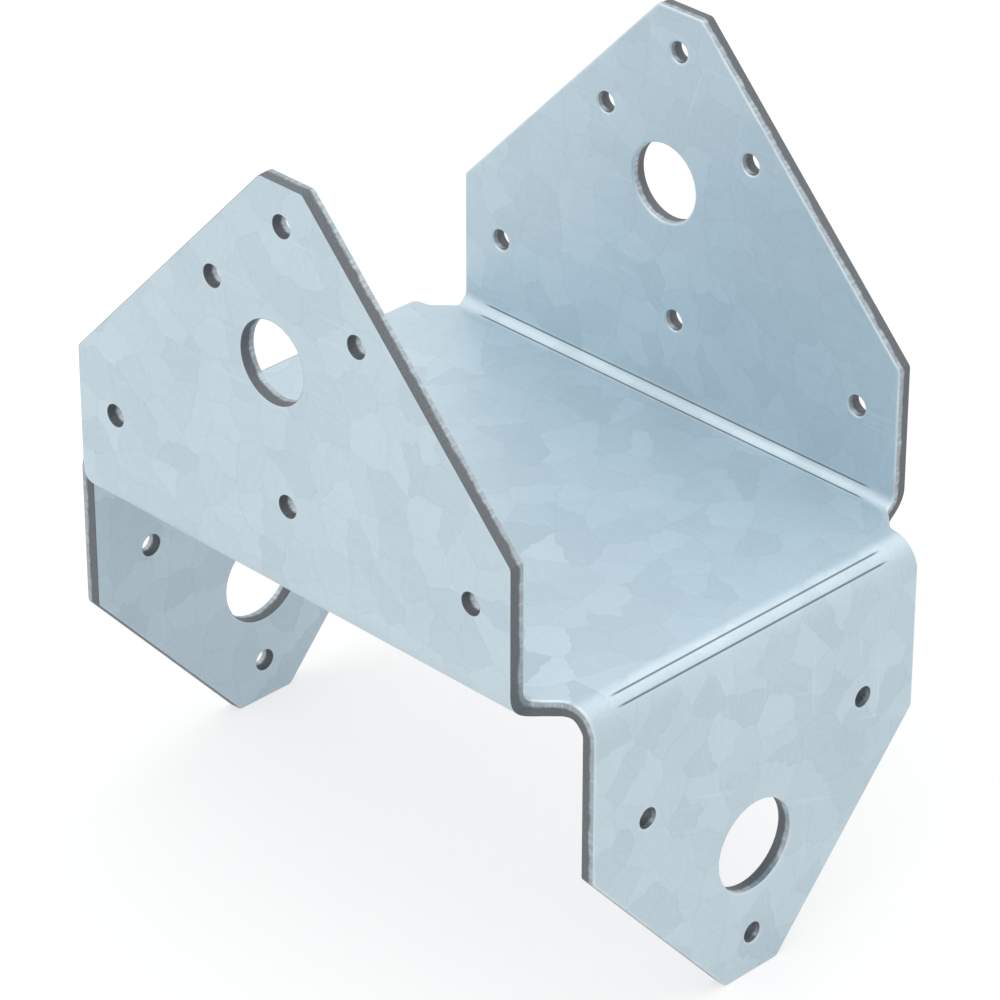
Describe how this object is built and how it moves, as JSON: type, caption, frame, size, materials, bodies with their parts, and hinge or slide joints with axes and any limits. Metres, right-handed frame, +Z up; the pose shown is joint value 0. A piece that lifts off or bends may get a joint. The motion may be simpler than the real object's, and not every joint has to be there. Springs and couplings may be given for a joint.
{
  "type": "post cap",
  "caption": "Folded sheet-steel post cap: a flat plate with pointed flanges up beside the beam and down beside the post, punched for nails and bolts.",
  "frame": {"origin": "centre of the plate's underside, the face that the post's end meets", "axes": "+Z up the post, X along the beam, Y across the beam"},
  "size_m": [0.1484, 0.1118, 0.1705],
  "materials": {
    "galvanised_steel": "pale blue-grey hot-dip galvanised steel, satin"
  },
  "bodies": {
    "root": {"post_cap": "galvanised_steel"}
  },
  "joints": []
}
